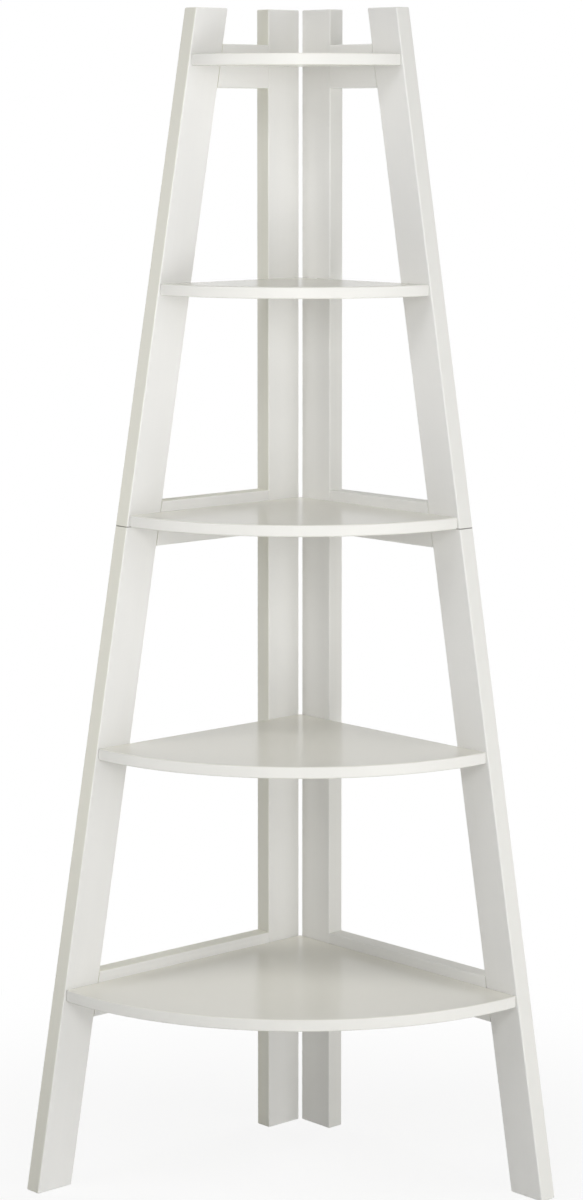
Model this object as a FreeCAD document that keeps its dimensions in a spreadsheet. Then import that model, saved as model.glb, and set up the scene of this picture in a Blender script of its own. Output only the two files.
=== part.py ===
import FreeCAD, Part
import math
import os

import Sketcher

# Corner ladder shelf: two flat side frames stand square to each other, each against
# one wall of a room corner, and carry five quarter-round shelves that get smaller
# towards the top, because the front legs lean back towards the rear posts.
# The origin is on the floor under the middle of the square footprint. The room corner
# is at -X +Y, the left frame is on the -X wall and the right frame is on the +Y wall.
# Every length is in millimetres.

SIZES = {
    # room corner to the front edge of a leg, on the floor
    "footprint": "505",
    # room corner to the front edge of a leg, at its top
    "top_reach": "219",
    # thickness of posts, legs and rails
    "board_thickness": "25",
    "post_width": "58.5",
    # leg width, square to the leg
    "leg_width": "57",
    # rear edge of a post ahead of the other frame's inner face
    "corner_gap": "2.6",
    # posts and legs above the top shelf
    "upright_rise": "64",
    "rail_height": "61",
    # rail top above the shelf that it carries
    "rail_rise": "14.5",
    "shelf_thickness": "16",
    # floor to the top face of the bottom shelf
    "first_shelf_top": "271",
    # from the bottom shelf to the second, and from each higher shelf to the next
    "bottom_shelf_pitch": "323",
    "shelf_pitch": "314",
    # shelf tip behind the front edge of its leg
    "shelf_setback": "1.5",
    # centre of a shelf's front arc, out from both straight edges
    "arc_centre_offset": "4",
    # eased edges of the boards and of the shelves
    "edge_round": "2",
    "shelf_round": "2",
    # eased ends where the halves of posts and legs meet
    "splice_round": "1",
    # wooden dowels, two in each end of a rail
    "dowel_diameter": "8",
    "dowel_length": "30",
    "dowel_spacing": "32",
    "dowel_chamfer": "0.8",
    # steel pins between the lower and upper halves of posts and legs
    "pin_diameter": "8",
    "pin_length": "50",
    "pin_chamfer": "1",
    # room around a dowel or a pin, and past its end
    "peg_clearance": "0.1",
    "hole_end_gap": "0.8",
    # connector bolts from the wall side into the shelf edges
    "bolt_diameter": "6",
    "bolt_clearance": "0.25",
    "bolt_head_diameter": "15",
    "bolt_head_height": "2.5",
    "bolt_head_recess": "0.5",
    "bolt_head_clearance": "0.5",
    "bolt_socket_width": "4",
    "bolt_socket_depth": "1.6",
    "bolt_overrun": "1",
    # bolts of the middle shelf, in from the ends of its rails
    "rail_bolt_inset": "40",
    # barrel nuts, let into the shelves from below
    "nut_diameter": "10",
    "nut_length": "12",
    "nut_inset": "17",
    "nut_clearance": "0.1",
    "nut_thread_clearance": "0.05",
}

doc = FreeCAD.newDocument("corner_ladder_shelf")
sheet = doc.addObject("Spreadsheet::Sheet", "Sizes")
for row, (alias, size) in enumerate(SIZES.items(), start=1):
    sheet.set(f"A{row}", alias)
    sheet.set(f"B{row}", size)
    sheet.setAlias(f"B{row}", alias)
doc.recompute()

X_AXIS = FreeCAD.Vector(1, 0, 0)
Y_AXIS = FreeCAD.Vector(0, 1, 0)
Z_AXIS = FreeCAD.Vector(0, 0, 1)
LEFT = "left"
RIGHT = "right"
SIDES = (LEFT, RIGHT)
SHELF_NAMES = ("bottom_shelf", "second_shelf", "middle_shelf", "fourth_shelf", "top_shelf")
BOTTOM, SECOND, MIDDLE, FOURTH, TOP = range(len(SHELF_NAMES))
RAIL_NAMES = {BOTTOM: "bottom_rail", MIDDLE: "middle_rail", TOP: "top_rail"}

# Places along a wall are counted from the room corner, heights from the floor.
POST_REAR = "(Sizes.board_thickness + Sizes.corner_gap)"
POST_MIDDLE = f"({POST_REAR} + Sizes.post_width / 2)"
POST_FRONT = f"({POST_REAR} + Sizes.post_width)"
BOARD_MIDDLE = "(Sizes.board_thickness / 2)"


def shelf_top(level):
    if level == BOTTOM:
        return "Sizes.first_shelf_top"
    return f"(Sizes.first_shelf_top + Sizes.bottom_shelf_pitch + {level - SECOND} * Sizes.shelf_pitch)"


def shelf_underside(level):
    return f"({shelf_top(level)} - Sizes.shelf_thickness)"


def shelf_middle(level):
    return f"({shelf_top(level)} - Sizes.shelf_thickness / 2)"


# The legs lean back from the footprint's edge on the floor to a shorter reach at the top.
UPRIGHT_TOP = f"({shelf_top(TOP)} + Sizes.upright_rise)"
LEG_SLOPE = f"((Sizes.footprint - Sizes.top_reach) / {UPRIGHT_TOP})"
LEG_TURN = f"90 deg + atan({LEG_SLOPE})"
LEG_RUN = f"(Sizes.leg_width * sqrt(1 + {LEG_SLOPE} ^ 2))"


def leg_front(height):
    return f"(Sizes.footprint - {height} * {LEG_SLOPE})"


def leg_rear(height):
    return f"({leg_front(height)} - {LEG_RUN})"


def leg_middle(height):
    return f"({leg_front(height)} - {LEG_RUN} / 2)"


def rail_bottom(level):
    return f"({shelf_top(level)} + Sizes.rail_rise - Sizes.rail_height)"


def dowel_heights(level):
    centre = f"{rail_bottom(level)} + Sizes.rail_height / 2"
    return (f"({centre} - Sizes.dowel_spacing / 2)", f"({centre} + Sizes.dowel_spacing / 2)")


# The uprights are in two halves that meet at the underside of the middle shelf.
FLOOR = "0"
SPLICE = shelf_underside(MIDDLE)
LOWER_MIDDLE_DOWEL, UPPER_MIDDLE_DOWEL = dowel_heights(MIDDLE)
HALVES = {
    "lower": (FLOOR, SPLICE, (BOTTOM, SECOND), (*dowel_heights(BOTTOM), LOWER_MIDDLE_DOWEL)),
    "upper": (SPLICE, UPRIGHT_TOP, (FOURTH, TOP), (UPPER_MIDDLE_DOWEL, *dowel_heights(TOP))),
}

# Depths and bores of the joints.
PEG_BORE = "(Sizes.dowel_diameter + 2 * Sizes.peg_clearance)"
PEG_DEPTH = "(Sizes.dowel_length / 2 + Sizes.hole_end_gap)"
PIN_BORE = "(Sizes.pin_diameter + 2 * Sizes.peg_clearance)"
PIN_DEPTH = "(Sizes.pin_length / 2 + Sizes.hole_end_gap)"
BOLT_BORE = "(Sizes.bolt_diameter + 2 * Sizes.bolt_clearance)"
HEAD_BORE = "(Sizes.bolt_head_diameter + 2 * Sizes.bolt_head_clearance)"
HEAD_DEPTH = "(Sizes.bolt_head_height + Sizes.bolt_head_recess)"
BOLT_REACH = "(Sizes.nut_inset + Sizes.nut_diameter / 2 + Sizes.bolt_overrun)"
BOLT_LENGTH = f"(Sizes.board_thickness - {HEAD_DEPTH} + {BOLT_REACH})"
BOLT_DEPTH = f"({BOLT_REACH} + Sizes.hole_end_gap)"
NUT_BORE = "(Sizes.nut_diameter + 2 * Sizes.nut_clearance)"
NUT_DEPTH = "(Sizes.shelf_thickness / 2 + Sizes.nut_length / 2)"
NUT_OFF_WALL = "(Sizes.board_thickness + Sizes.nut_inset)"
NUT_THREAD = "(Sizes.bolt_diameter + 2 * Sizes.nut_thread_clearance)"


def bolt_places(level):
    """Places along a wall of one shelf's bolts: in post and leg, or in the middle rail."""
    height = shelf_middle(level)
    if level == MIDDLE:
        return (f"({POST_FRONT} + Sizes.rail_bolt_inset)", f"({leg_rear(height)} - Sizes.rail_bolt_inset)")
    return (POST_MIDDLE, leg_middle(height))


def measure(expression):
    """Present value of an expression over the sheet."""
    return float(sheet.evalExpression(expression))


def new_body(label):
    body = doc.addObject("PartDesign::Body", label)
    body.Label = label
    return body


def new_sketch(body, role, offset=None):
    """Sketch on one of the body's own planes, or at an offset along the plane's normal."""
    sketch = body.newObject("Sketcher::SketchObject", f"{body.Label}_sketch")
    plane = next(item for item in body.Origin.OriginFeatures if item.Role == role)
    sketch.AttachmentSupport = (plane, [""])
    sketch.MapMode = "FlatFace"
    if offset is not None:
        sketch.setExpression("AttachmentOffset.Base.z", offset)
    return sketch


def bind(sketch, expression, kind, *elements):
    """Dimension on a sketch that follows an expression over the sheet."""
    index = sketch.addConstraint(Sketcher.Constraint(kind, *elements, measure(expression)))
    sketch.setExpression(f"Constraints[{index}]", expression)


def lean_line(sketch, line):
    """Line that leans back as the legs do."""
    index = sketch.addConstraint(Sketcher.Constraint("Angle", line, math.radians(measure(LEG_TURN))))
    sketch.setExpression(f"Constraints[{index}]", LEG_TURN)


def closed_lines(sketch, corners):
    """Closed loop of straight lines whose corners stay joined."""
    points = [FreeCAD.Vector(x, y, 0) for x, y in corners]
    count = len(points)
    lines = [Part.LineSegment(points[i], points[(i + 1) % count]) for i in range(count)]
    first = sketch.addGeometry(lines, False)[0]
    for i in range(count):
        sketch.addConstraint(Sketcher.Constraint("Coincident", first + i, 2, first + (i + 1) % count, 1))
    return [first + i for i in range(count)]


def place_point(sketch, geometry, vertex, across, up, way=1):
    """Point at two bound distances from the sketch's origin; way -1 counts across to the left."""
    ends = (-1, 1, geometry, vertex) if way > 0 else (geometry, vertex, -1, 1)
    bind(sketch, across, "DistanceX", *ends)
    bind(sketch, up, "DistanceY", -1, 1, geometry, vertex)


def add_circle(sketch, across, up, bore, way=1):
    centre = FreeCAD.Vector(way * measure(across), measure(up), 0)
    circle = sketch.addGeometry(Part.Circle(centre, Z_AXIS, measure(bore) / 2), False)
    place_point(sketch, circle, 3, across, up, way)
    bind(sketch, bore, "Diameter", circle)


def pad(body, sketch, length, reversed_way=False):
    feature = body.newObject("PartDesign::Pad", f"{body.Label}_pad")
    feature.Profile = sketch
    feature.Reversed = reversed_way
    feature.setExpression("Length", length)
    doc.recompute()
    return feature


def pocket(body, sketch, depth=None, reversed_way=False):
    """Cut along the sketch's normal, to a depth or right out of the piece."""
    before = body.Shape.Volume
    feature = body.newObject("PartDesign::Pocket", f"{body.Label}_pocket")
    feature.Profile = sketch
    feature.Reversed = reversed_way
    if depth is None:
        feature.Type = "ThroughAll"
    else:
        feature.setExpression("Length", depth)
    doc.recompute()
    if body.Shape.Volume >= before:
        raise RuntimeError(f"a cut in {body.Label} removes nothing")
    return feature


def ease_edges(body, base, radius, keep):
    """Round the edges of the blank that keep() picks."""
    names = [f"Edge{i}" for i, edge in enumerate(base.Shape.Edges, start=1) if keep(edge)]
    feature = body.newObject("PartDesign::Fillet", f"{body.Label}_round")
    feature.Base = (base, names)
    feature.setExpression("Radius", radius)
    doc.recompute()
    return feature


def stand_at_wall(item, side, along, height):
    """Put a frame piece at its place along its wall, outer face on the wall."""
    rear = "-Sizes.footprint / 2"
    if side == LEFT:
        item.Placement = FreeCAD.Placement(FreeCAD.Vector(), FreeCAD.Rotation(X_AXIS, -Y_AXIS))
        item.setExpression("Placement.Base.x", rear)
        item.setExpression("Placement.Base.y", f"Sizes.footprint / 2 - {along}")
    else:
        item.setExpression("Placement.Base.x", f"{rear} + {along}")
        item.setExpression("Placement.Base.y", "Sizes.footprint / 2")
    item.setExpression("Placement.Base.z", height)


def bolt_holes(body, side, places):
    """Bolt holes through the board, with a counterbore for the head on the wall face."""
    towards_room = side == RIGHT
    for bore, depth in ((BOLT_BORE, None), (HEAD_BORE, HEAD_DEPTH)):
        sketch = new_sketch(body, "XZ_Plane")
        for along, height in places:
            add_circle(sketch, along, height, bore)
        pocket(body, sketch, depth, towards_room)


def peg_hole(body, side, end, height, towards_front):
    """Dowel hole from its blind end, square out of the board's edge."""
    sketch = new_sketch(body, "YZ_Plane", end)
    add_circle(sketch, BOARD_MIDDLE, height, PEG_BORE, 1 if side == LEFT else -1)
    pocket(body, sketch, None, towards_front)


def pin_hole(body, side, along, end, upwards):
    """Upright pin hole from its blind end, out of the end of a post or leg."""
    sketch = new_sketch(body, "XY_Plane", end)
    way = 1 if side == LEFT else -1
    circle = sketch.addGeometry(Part.Circle(
        FreeCAD.Vector(measure(along), way * measure(BOARD_MIDDLE), 0),
        Z_AXIS, measure(PIN_BORE) / 2), False)
    bind(sketch, along, "DistanceX", -1, 1, circle, 3)
    bind(sketch, BOARD_MIDDLE, "DistanceY", *((-1, 1, circle, 3) if way > 0 else (circle, 3, -1, 1)))
    bind(sketch, PIN_BORE, "Diameter", circle)
    pocket(body, sketch, None, upwards)


def is_lengthwise(edge, direction):
    return edge.Curve.TypeId == "Part::GeomLine" and abs(edge.Curve.Direction.dot(direction)) > 0.999


def is_level_at(edge, height):
    return all(abs(vertex.Z - height) < 1e-6 for vertex in edge.Vertexes)


def upright(side, half, kind):
    """One half of a rear post or of a leaning front leg, cut level at both ends."""
    low, high, levels, dowels = HALVES[half]
    body = new_body(f"{side}_{half}_{kind}")
    length = f"({high} - {low})"
    slope = LEG_SLOPE if kind == "leg" else "0"
    run = LEG_RUN if kind == "leg" else "Sizes.post_width"
    rear = leg_rear(low) if kind == "leg" else POST_REAR
    tall = measure(length)
    wide = measure(run)
    shift = tall * measure(slope)

    sketch = new_sketch(body, "XZ_Plane")
    base, front, top, back = closed_lines(sketch, ((0, 0), (wide, 0), (wide - shift, tall), (-shift, tall)))
    sketch.addConstraint(Sketcher.Constraint("Coincident", base, 1, -1, 1))
    sketch.addConstraint(Sketcher.Constraint("Horizontal", base))
    sketch.addConstraint(Sketcher.Constraint("Horizontal", top))
    sketch.addConstraint(Sketcher.Constraint("Parallel", front, back))
    bind(sketch, run, "DistanceX", base, 1, base, 2)
    bind(sketch, length, "DistanceY", front, 1, front, 2)
    if kind == "leg":
        lean_line(sketch, front)
    else:
        sketch.addConstraint(Sketcher.Constraint("Vertical", front))
    blank = pad(body, sketch, "Sizes.board_thickness", side == LEFT)

    along_board = FreeCAD.Vector(-shift, 0, tall).normalize()
    free_end, splice_end = (0, tall) if half == "lower" else (tall, 0)
    eased = ease_edges(body, blank, "Sizes.edge_round", lambda edge: is_lengthwise(edge, along_board)
                       or is_level_at(edge, free_end))
    ease_edges(body, eased, "Sizes.splice_round", lambda edge: is_level_at(edge, splice_end))

    def local(place, height):
        return f"({place} - {rear})", f"({height} - {low})"

    if kind == "leg":
        places = [local(leg_middle(shelf_middle(level)), shelf_middle(level)) for level in levels]
    else:
        places = [local(POST_MIDDLE, shelf_middle(level)) for level in levels]
    bolt_holes(body, side, places)

    for height in dowels:
        if kind == "leg":
            end, up = local(f"{leg_rear(height)} + {PEG_DEPTH}", height)
        else:
            end, up = local(f"{POST_FRONT} - {PEG_DEPTH}", height)
        peg_hole(body, side, end, up, kind == "post")

    splice_middle = leg_middle(SPLICE) if kind == "leg" else POST_MIDDLE
    pin_end = f"({SPLICE} - {PIN_DEPTH})" if half == "lower" else f"({SPLICE} + {PIN_DEPTH})"
    pin_along, pin_up = local(splice_middle, pin_end)
    pin_hole(body, side, pin_along, pin_up, half == "lower")

    stand_at_wall(body, side, rear, low)
    return body


def rail(side, level):
    """Level rail between post and leg, its front end cut to the lean of the leg."""
    body = new_body(f"{side}_{RAIL_NAMES[level]}")
    low = rail_bottom(level)
    high = f"({low} + Sizes.rail_height)"
    under_length = f"({leg_rear(low)} - {POST_FRONT})"
    over_length = f"({leg_rear(high)} - {POST_FRONT})"
    tall = measure("Sizes.rail_height")

    sketch = new_sketch(body, "XZ_Plane")
    corners = ((0, 0), (measure(under_length), 0), (measure(over_length), tall), (0, tall))
    base, front, top, back = closed_lines(sketch, corners)
    sketch.addConstraint(Sketcher.Constraint("Coincident", base, 1, -1, 1))
    sketch.addConstraint(Sketcher.Constraint("Horizontal", base))
    sketch.addConstraint(Sketcher.Constraint("Horizontal", top))
    sketch.addConstraint(Sketcher.Constraint("Vertical", back))
    bind(sketch, under_length, "DistanceX", base, 1, base, 2)
    bind(sketch, "Sizes.rail_height", "DistanceY", back, 2, back, 1)
    lean_line(sketch, front)
    blank = pad(body, sketch, "Sizes.board_thickness", side == LEFT)
    ease_edges(body, blank, "Sizes.edge_round", lambda edge: is_lengthwise(edge, X_AXIS))

    if level == MIDDLE:
        bolt_up = f"({shelf_middle(level)} - {low})"
        bolt_holes(body, side, [(f"({place} - {POST_FRONT})", bolt_up) for place in bolt_places(level)])
    for height in dowel_heights(level):
        up = f"({height} - {low})"
        peg_hole(body, side, PEG_DEPTH, up, False)
        peg_hole(body, side, f"({leg_rear(height)} - {PEG_DEPTH} - {POST_FRONT})", up, True)

    stand_at_wall(body, side, POST_FRONT, low)
    return body


def shelf(level):
    """Quarter-round shelf: two straight edges on the frames and a bowed front between their tips."""
    body = new_body(SHELF_NAMES[level])
    reach = f"({leg_front(shelf_top(level))} - Sizes.board_thickness - Sizes.shelf_setback)"
    long_side = measure(reach)
    offset = measure("Sizes.arc_centre_offset")
    centre = FreeCAD.Vector(offset, -offset, 0)
    radius = math.hypot(long_side - offset, offset)
    swing = math.atan2(offset, long_side - offset)

    sketch = new_sketch(body, "XY_Plane")
    rear = FreeCAD.Vector(0, 0, 0)
    right_tip = FreeCAD.Vector(long_side, 0, 0)
    left_tip = FreeCAD.Vector(0, -long_side, 0)
    front = Part.ArcOfCircle(Part.Circle(centre, Z_AXIS, radius), -math.pi / 2 - swing, swing)
    right_edge = sketch.addGeometry(Part.LineSegment(rear, right_tip), False)
    left_edge = sketch.addGeometry(Part.LineSegment(left_tip, rear), False)
    arc = sketch.addGeometry(front, False)
    sketch.addConstraint(Sketcher.Constraint("Coincident", right_edge, 1, -1, 1))
    sketch.addConstraint(Sketcher.Constraint("Coincident", left_edge, 2, -1, 1))
    sketch.addConstraint(Sketcher.Constraint("Horizontal", right_edge))
    sketch.addConstraint(Sketcher.Constraint("Vertical", left_edge))
    sketch.addConstraint(Sketcher.Constraint("Coincident", arc, 1, left_edge, 1))
    sketch.addConstraint(Sketcher.Constraint("Coincident", arc, 2, right_edge, 2))
    sketch.addConstraint(Sketcher.Constraint("Equal", right_edge, left_edge))
    bind(sketch, reach, "DistanceX", right_edge, 1, right_edge, 2)
    bind(sketch, "Sizes.arc_centre_offset", "DistanceX", -1, 1, arc, 3)
    blank = pad(body, sketch, "Sizes.shelf_thickness")
    ease_edges(body, blank, "Sizes.shelf_round", lambda edge: True)

    half_thickness = "(Sizes.shelf_thickness / 2)"
    places = [f"({place} - Sizes.board_thickness)" for place in bolt_places(level)]
    left_holes = new_sketch(body, "YZ_Plane")
    for along in places:
        add_circle(left_holes, along, half_thickness, BOLT_BORE, -1)
    pocket(body, left_holes, BOLT_DEPTH, True)
    right_holes = new_sketch(body, "XZ_Plane")
    for along in places:
        add_circle(right_holes, along, half_thickness, BOLT_BORE)
    pocket(body, right_holes, BOLT_DEPTH, True)

    nut_holes = new_sketch(body, "XY_Plane")
    for along in places:
        for across, back in ((along, "Sizes.nut_inset"), ("Sizes.nut_inset", along)):
            middle = FreeCAD.Vector(measure(across), -measure(back), 0)
            circle = nut_holes.addGeometry(
                Part.Circle(middle, Z_AXIS, measure(NUT_BORE) / 2), False)
            bind(nut_holes, across, "DistanceX", -1, 1, circle, 3)
            bind(nut_holes, back, "DistanceY", circle, 3, -1, 1)
            bind(nut_holes, NUT_BORE, "Diameter", circle)
    pocket(body, nut_holes, NUT_DEPTH, True)

    body.setExpression("Placement.Base.x", "Sizes.board_thickness - Sizes.footprint / 2")
    body.setExpression("Placement.Base.y", "Sizes.footprint / 2 - Sizes.board_thickness")
    body.setExpression("Placement.Base.z", shelf_underside(level))
    return body


def peg(label, diameter, length, chamfer):
    """Plain round peg with chamfered ends, centred on its own middle, along Z."""
    body = new_body(label)
    sketch = new_sketch(body, "XY_Plane", f"-{length} / 2")
    circle = sketch.addGeometry(
        Part.Circle(FreeCAD.Vector(), Z_AXIS, measure(diameter) / 2), False)
    sketch.addConstraint(Sketcher.Constraint("Coincident", circle, 3, -1, 1))
    bind(sketch, diameter, "Diameter", circle)
    blank = pad(body, sketch, length)
    ends = [f"Edge{i}" for i, edge in enumerate(blank.Shape.Edges, start=1) if edge.isClosed()]
    feature = body.newObject("PartDesign::Chamfer", f"{label}_chamfer")
    feature.Base = (blank, ends)
    feature.setExpression("Size", chamfer)
    doc.recompute()
    return body


def connector_bolt():
    """Wide flat-headed bolt along Z: shank up from the origin, head below it, hexagon socket."""
    body = new_body("connector_bolt")
    for diameter, length, downwards in (("Sizes.bolt_head_diameter", "Sizes.bolt_head_height", True),
                                        ("Sizes.bolt_diameter", BOLT_LENGTH, False)):
        sketch = new_sketch(body, "XY_Plane")
        circle = sketch.addGeometry(
            Part.Circle(FreeCAD.Vector(), Z_AXIS, measure(diameter) / 2), False)
        sketch.addConstraint(Sketcher.Constraint("Coincident", circle, 3, -1, 1))
        bind(sketch, diameter, "Diameter", circle)
        pad(body, sketch, length, downwards)

    sides = 6
    corner_reach = measure("Sizes.bolt_socket_width") / math.sqrt(3)
    turns = [2 * math.pi * i / sides for i in range(sides)]
    sketch = new_sketch(body, "XY_Plane", "-Sizes.bolt_head_height")
    lines = closed_lines(sketch, [(corner_reach * math.cos(a), corner_reach * math.sin(a)) for a in turns])
    guide = sketch.addGeometry(
        Part.Circle(FreeCAD.Vector(), Z_AXIS, corner_reach), True)
    sketch.addConstraint(Sketcher.Constraint("Coincident", guide, 3, -1, 1))
    for line in lines:
        sketch.addConstraint(Sketcher.Constraint("PointOnObject", line, 1, guide))
    for line in lines[1:]:
        sketch.addConstraint(Sketcher.Constraint("Equal", lines[0], line))
    sketch.addConstraint(Sketcher.Constraint("Horizontal", lines[1]))
    bind(sketch, "Sizes.bolt_socket_width / sqrt(3)", "Radius", guide)
    pocket(body, sketch, "Sizes.bolt_socket_depth", True)
    return body


def barrel_nut():
    """Round nut along Z with its cross hole along X."""
    body = new_body("barrel_nut")
    sketch = new_sketch(body, "XY_Plane", "-Sizes.nut_length / 2")
    circle = sketch.addGeometry(
        Part.Circle(FreeCAD.Vector(), Z_AXIS, measure("Sizes.nut_diameter") / 2), False)
    sketch.addConstraint(Sketcher.Constraint("Coincident", circle, 3, -1, 1))
    bind(sketch, "Sizes.nut_diameter", "Diameter", circle)
    pad(body, sketch, "Sizes.nut_length")

    hole = new_sketch(body, "YZ_Plane", "Sizes.nut_diameter")
    circle = hole.addGeometry(
        Part.Circle(FreeCAD.Vector(), Z_AXIS, measure(NUT_THREAD) / 2), False)
    hole.addConstraint(Sketcher.Constraint("Coincident", circle, 3, -1, 1))
    bind(hole, NUT_THREAD, "Diameter", circle)
    pocket(body, hole)
    return body


def at_wall(side, along, off_wall):
    """Plan position of a point beside one wall, as two expressions."""
    if side == LEFT:
        return f"{off_wall} - Sizes.footprint / 2", f"Sizes.footprint / 2 - {along}"
    return f"{along} - Sizes.footprint / 2", f"Sizes.footprint / 2 - {off_wall}"


def copies(label, source, places):
    """Group of equal fasteners: one copy of the source at each place, turned as given."""
    links = []
    for (across, forth, height), turn in places:
        link = doc.addObject("App::Link", f"{label}_copy")
        link.LinkedObject = source
        link.LinkTransform = False
        link.Placement = FreeCAD.Placement(FreeCAD.Vector(), turn)
        link.setExpression("Placement.Base.x", across)
        link.setExpression("Placement.Base.y", forth)
        link.setExpression("Placement.Base.z", height)
        links.append(link)
    group = doc.addObject("Part::Compound", label)
    group.Label = label
    group.Links = links
    return group


# How the fasteners of each frame turn from their own axes to the wall's.
DOWEL_TURN = {LEFT: FreeCAD.Rotation(Z_AXIS, Y_AXIS), RIGHT: FreeCAD.Rotation(Z_AXIS, X_AXIS)}
BOLT_TURN = {LEFT: FreeCAD.Rotation(Z_AXIS, X_AXIS), RIGHT: FreeCAD.Rotation(Z_AXIS, -Y_AXIS)}
NUT_TURN = {LEFT: FreeCAD.Rotation(), RIGHT: FreeCAD.Rotation(X_AXIS, Y_AXIS)}

pieces = []
for side in SIDES:
    for kind in ("post", "leg"):
        for half in HALVES:
            pieces.append(upright(side, half, kind))
    for level in RAIL_NAMES:
        pieces.append(rail(side, level))
for level in range(len(SHELF_NAMES)):
    pieces.append(shelf(level))

dowel_places = []
pin_places = []
bolt_spots = []
nut_places = []
for side in SIDES:
    for level in RAIL_NAMES:
        for height in dowel_heights(level):
            for along in (POST_FRONT, leg_rear(height)):
                dowel_places.append(((*at_wall(side, along, BOARD_MIDDLE), height), DOWEL_TURN[side]))
    for along in (POST_MIDDLE, leg_middle(SPLICE)):
        pin_places.append(((*at_wall(side, along, BOARD_MIDDLE), SPLICE), FreeCAD.Rotation()))
    for level in range(len(SHELF_NAMES)):
        for along in bolt_places(level):
            height = shelf_middle(level)
            bolt_spots.append(((*at_wall(side, along, HEAD_DEPTH), height), BOLT_TURN[side]))
            nut_places.append(((*at_wall(side, along, NUT_OFF_WALL), height), NUT_TURN[side]))

dowel = peg("dowel", "Sizes.dowel_diameter", "Sizes.dowel_length", "Sizes.dowel_chamfer")
pin = peg("pin", "Sizes.pin_diameter", "Sizes.pin_length", "Sizes.pin_chamfer")
pieces.append(copies("rail_dowels", dowel, dowel_places))
pieces.append(copies("splice_pins", pin, pin_places))
pieces.append(copies("shelf_bolts", connector_bolt(), bolt_spots))
pieces.append(copies("barrel_nuts", barrel_nut(), nut_places))
doc.recompute()

for item in doc.Objects:
    if "Invalid" in item.State or "Error" in item.State:
        raise RuntimeError(f"{item.Label} did not build: {item.State}")
for piece in pieces:
    if piece.Shape.isNull() or not piece.Shape.isValid():
        raise RuntimeError(f"{piece.Label} has no sound shape")

os.makedirs("parts", exist_ok=True)
for piece in pieces:
    piece.Shape.exportStep(f"parts/{piece.Label}.step")
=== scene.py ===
import math

import bmesh
import bpy
from mathutils import Matrix, Vector


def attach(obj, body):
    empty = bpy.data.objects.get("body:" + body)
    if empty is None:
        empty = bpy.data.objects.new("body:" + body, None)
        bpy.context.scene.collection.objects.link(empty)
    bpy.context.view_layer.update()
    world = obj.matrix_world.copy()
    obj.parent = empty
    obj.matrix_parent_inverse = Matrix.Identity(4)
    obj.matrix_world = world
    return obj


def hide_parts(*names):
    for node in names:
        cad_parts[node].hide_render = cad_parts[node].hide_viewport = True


# Looks of the corner ladder shelf: satin white paint on boards and shelves, plated
# connector bolts on the wall side and slotted barrel nuts under the shelves.
# Every length is in metres. Places along a wall are counted from the room corner.

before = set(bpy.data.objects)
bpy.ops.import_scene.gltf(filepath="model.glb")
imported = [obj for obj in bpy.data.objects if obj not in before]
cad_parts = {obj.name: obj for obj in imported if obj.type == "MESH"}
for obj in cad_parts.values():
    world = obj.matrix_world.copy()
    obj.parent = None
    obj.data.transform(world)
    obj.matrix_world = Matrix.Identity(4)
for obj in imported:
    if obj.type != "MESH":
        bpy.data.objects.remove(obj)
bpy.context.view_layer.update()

ROOM_CORNER = Vector((-0.2525, 0.2525, 0.0))
FOOTPRINT = 0.505
TOP_REACH = 0.219
UPRIGHT_TOP = 1.600
BOARD_THICKNESS = 0.025
POST_REAR = 0.0276
POST_WIDTH = 0.0585
LEG_WIDTH = 0.057
SHELF_THICKNESS = 0.016
SHELF_TOPS = (0.271, 0.594, 0.908, 1.222, 1.536)
MIDDLE_SHELF = 2
RAIL_BOLT_INSET = 0.040
SPLICE_HEIGHT = 0.892

LEG_SLOPE = (FOOTPRINT - TOP_REACH) / UPRIGHT_TOP
LEG_LEAN = math.atan(LEG_SLOPE)
LEG_RUN = LEG_WIDTH / math.cos(LEG_LEAN)

QUARTER = math.radians(90)
NO_MOVE = (0.0, 0.0, 0.0)
NO_TURN = (0.0, 0.0, 0.0)
TURN_X = (QUARTER, 0.0, 0.0)
TURN_Y = (0.0, QUARTER, 0.0)
TURN_Z = (0.0, 0.0, QUARTER)
TURN_BACK_Y = (0.0, -QUARTER, 0.0)


# Node helpers

FLOAT = "NodeSocketFloat"
COLOR = "NodeSocketColor"
VECTOR = "NodeSocketVector"
SHAPE = "NodeSocketGeometry"
MATERIAL = "NodeSocketMaterial"


def put(tree, kind, feeds=None, **settings):
    """Node with its settings; feeds gives an input a value or another node's output."""
    made = tree.nodes.new(kind)
    for name, value in settings.items():
        setattr(made, name, value)
    for socket, source in (feeds or {}).items():
        if isinstance(source, bpy.types.NodeSocket):
            tree.links.new(source, made.inputs[socket])
        else:
            made.inputs[socket].default_value = source
    return made


def sums(tree, operation, first, second=0.0, third=0.0):
    """Output of one step of arithmetic on single values."""
    return put(tree, "ShaderNodeMath", {0: first, 1: second, 2: third}, operation=operation).outputs[0]


def halved(tree, value):
    return sums(tree, "DIVIDE", value, 2.0)


def doubled(tree, value):
    return sums(tree, "MULTIPLY", value, 2.0)


def negated(tree, value):
    return sums(tree, "MULTIPLY", value, -1.0)


def vectors(tree, operation, first, second):
    """Output of one step of arithmetic on vectors."""
    return put(tree, "ShaderNodeVectorMath", {0: first, 1: second}, operation=operation).outputs[0]


def scaled(tree, vector, factor):
    return put(tree, "ShaderNodeVectorMath", {0: vector, "Scale": factor}, operation="SCALE").outputs[0]


def spot(tree, x=0.0, y=0.0, z=0.0):
    """Vector made of single values."""
    return put(tree, "ShaderNodeCombineXYZ", {"X": x, "Y": y, "Z": z}).outputs[0]


def span(tree, value, low, high, start=0.0, stop=1.0, easing="LINEAR"):
    """Start below low, stop above high, and in between by the easing."""
    feeds = {"Value": value, "From Min": low, "From Max": high, "To Min": start, "To Max": stop}
    return put(tree, "ShaderNodeMapRange", feeds, interpolation_type=easing).outputs[0]


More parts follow.
